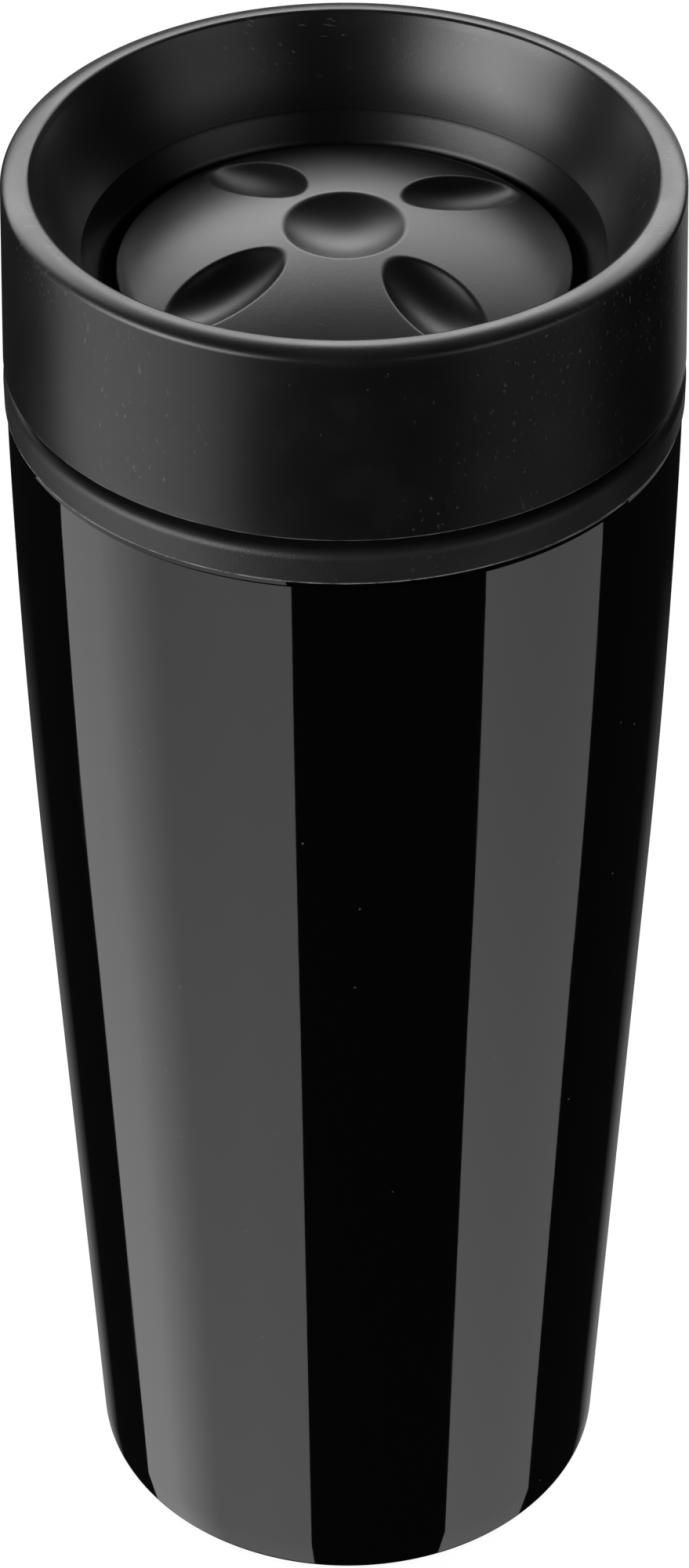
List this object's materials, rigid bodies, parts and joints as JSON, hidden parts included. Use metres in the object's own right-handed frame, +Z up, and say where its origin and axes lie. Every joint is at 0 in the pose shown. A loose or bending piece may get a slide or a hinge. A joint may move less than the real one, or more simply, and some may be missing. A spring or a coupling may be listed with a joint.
{
  "type": "insulated tumbler with lid",
  "caption": "Double-wall insulated travel tumbler with a screw-on lid and a push-button valve that opens a drinking gap all round.",
  "frame": {"origin": "centre of the underside of the foot pad, on the surface that the tumbler stands on", "axes": "+Z up along the tumbler's axis, towards the lid; the view of the tumbler's front looks along +Y"},
  "size_m": [0.0824, 0.0824, 0.2033],
  "materials": {
    "lacquer": "high gloss black lacquer over steel",
    "steel": "electropolished and lightly brushed stainless steel",
    "foil": "bright crinkled foil",
    "getter_metal": "dull sintered metal",
    "seal_glass": "fused glass bead",
    "lid_plastic": "satin black moulded polypropylene with fine spark texture",
    "collar_plastic": "matt black moulded polypropylene",
    "button_plastic": "matt black moulded polypropylene with fine spark texture",
    "valve_plastic": "natural acetal, smooth",
    "silicone": "grey food-grade silicone",
    "foot_rubber": "matt black silicone",
    "spring_steel": "drawn stainless wire"
  },
  "bodies": {
    "tumbler": {"outer_shell": "lacquer", "inner_liner": "steel", "shell_base": "steel", "getter": "getter_metal", "vacuum_seal": "seal_glass", "heat_foil": "foil", "neck_collar": "collar_plastic", "collar_seal": "silicone", "foot_pad": "foot_rubber"},
    "gasket": {"lid_gasket": "silicone"},
    "lid": {"lid_cover": "lid_plastic", "lid_insert": "lid_plastic", "cover_seal": "silicone", "cam_sleeve": "valve_plastic", "return_spring": "spring_steel"},
    "plunger": {"press_button": "button_plastic", "button_stem": "valve_plastic", "valve_plate": "lid_plastic", "valve_seal": "silicone", "plate_screw": "spring_steel"},
    "latch": {"latch_rotor": "valve_plastic"}
  },
  "joints": [
    {"name": "lid_lift", "type": "slide", "parent": "tumbler", "child": "gasket", "axis": [0, 0, 1], "range_m": [0, 0.02401]},
    {"name": "lid_unscrew", "type": "hinge", "parent": "gasket", "child": "lid", "pos_m": [0, 0, 0.1786], "axis": [0, 0, 1], "range_deg": [0, 720]},
    {"name": "button_press", "type": "slide", "parent": "lid", "child": "plunger", "axis": [0, 0, -1], "range_m": [0, 0.005], "stiffness_N_per_m": 400, "springref_m": -0.012, "deforming": ["return_spring"]},
    {"name": "latch_turn", "type": "hinge", "parent": "plunger", "child": "latch", "pos_m": [0, 0, 0.182], "axis": [0, 0, 1], "range_deg": [0, 45.01]}
  ],
  "couplings": [
    {"joint": "lid_lift", "follows": "lid_unscrew", "m_per_rad": 0.0019099},
    {"joint": "latch_turn", "follows": "button_press", "rad_per_m": 157.08}
  ]
}
